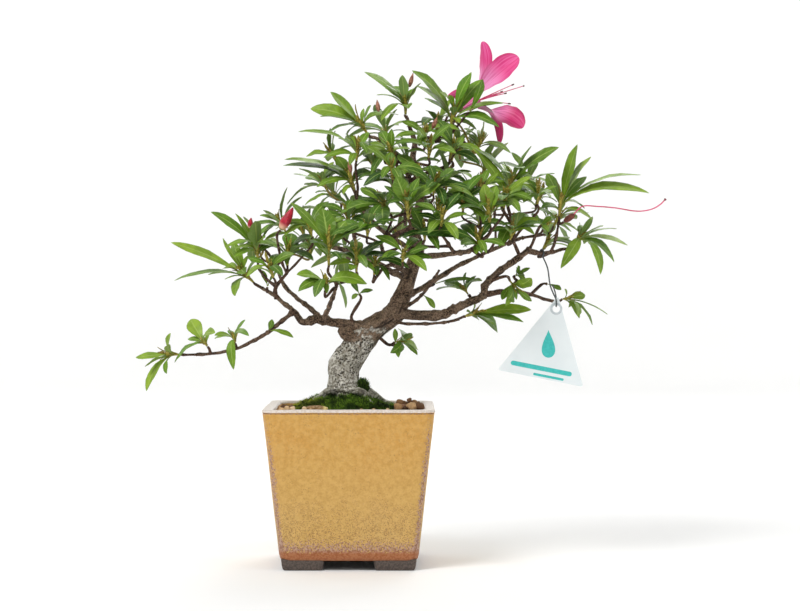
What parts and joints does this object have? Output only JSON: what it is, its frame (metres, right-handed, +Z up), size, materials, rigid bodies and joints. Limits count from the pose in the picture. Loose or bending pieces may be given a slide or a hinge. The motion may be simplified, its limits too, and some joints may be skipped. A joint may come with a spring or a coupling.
{
  "type": "bonsai tree",
  "caption": "Small flowering azalea bonsai with a leaning trunk, leafy whorls, an open pink flower and buds, in a tapered square glazed pot.",
  "frame": {"origin": "on the surface that the pot's feet stand on, under the middle of the whole tree and pot", "axes": "+Z up, +X to the right as seen from the front, -Y towards the viewer"},
  "size_m": [0.3436, 0.1838, 0.3397],
  "materials": {
    "glaze": "ochre glaze, finely speckled with brown and running to red-brown at the base",
    "mesh_plastic": "black drainage mesh",
    "clip_wire": "dull bent wire",
    "potting_soil": "granular soil, matt",
    "moss_green": "living moss, matt and tufted",
    "tan_stone": "tan pumice, matt",
    "grey_stone": "grey-brown lava grain, matt",
    "petal_pink": "thin petal, soft satin",
    "filament_pink": "thin filament with dark anthers",
    "calyx_green": "hairy green stalk",
    "dry_calyx": "dry red-brown calyx",
    "style_pink": "pink-red style",
    "bud_red": "crimson bud, satin",
    "tag_white": "white plastic sheet, faintly see-through",
    "thin_wire": "thin dark wire",
    "bark": "pale grey-brown bark, rough, darker on the branches",
    "leaf_green": "living leaf, satin above and matt below"
  },
  "bodies": {
    "root": {"pot": "glaze", "drain_screen": "mesh_plastic", "screen_wire": "clip_wire", "soil": "potting_soil", "moss": "moss_green", "stone_long": "tan_stone", "stone_tan": "tan_stone", "stone_grey": "grey_stone", "corolla": "petal_pink", "stamens": "filament_pink", "flower_stalk": "calyx_green", "old_calyx": "dry_calyx", "old_style": "style_pink", "bud_large": "bud_red", "bud_small": "bud_red", "tag": "tag_white", "tag_wire": "thin_wire", "wood": "bark", "leaves_top": "leaf_green", "leaves_top_left_a": "leaf_green", "leaves_top_left_b": "leaf_green", "leaves_top_left_c": "leaf_green", "leaves_top_mid": "leaf_green", "leaves_crown_front": "leaf_green", "leaves_crown_back": "leaf_green", "leaves_by_flower": "leaf_green", "leaves_right_back": "leaf_green", "leaves_right_high": "leaf_green", "leaves_right_front": "leaf_green", "leaves_front_low": "leaf_green", "leaves_centre_front": "leaf_green", "leaves_centre_high": "leaf_green", "leaves_centre_left": "leaf_green", "leaves_left_top": "leaf_green", "leaves_left_front_a": "leaf_green", "leaves_left_front_b": "leaf_green", "leaves_left_front_c": "leaf_green", "leaves_left_mid": "leaf_green", "leaves_left_high_a": "leaf_green", "leaves_left_outer": "leaf_green", "leaves_low_tip": "leaf_green", "leaves_low_mid": "leaf_green", "leaves_low_near": "leaf_green", "leaves_right_top": "leaf_green", "leaves_right_end": "leaf_green", "leaves_right_low": "leaf_green", "leaves_right_inner": "leaf_green", "leaves_under_right": "leaf_green", "leaves_behind_tag": "leaf_green", "leaves_low_right": "leaf_green", "leaves_mid_right": "leaf_green", "leaves_on_trunk": "leaf_green", "leaves_back_a": "leaf_green", "leaves_back_b": "leaf_green", "leaves_back_c": "leaf_green", "leaves_back_d": "leaf_green", "leaves_back_e": "leaf_green", "leaves_back_f": "leaf_green", "leaves_back_g": "leaf_green", "leaves_back_h": "leaf_green"}
  },
  "joints": []
}
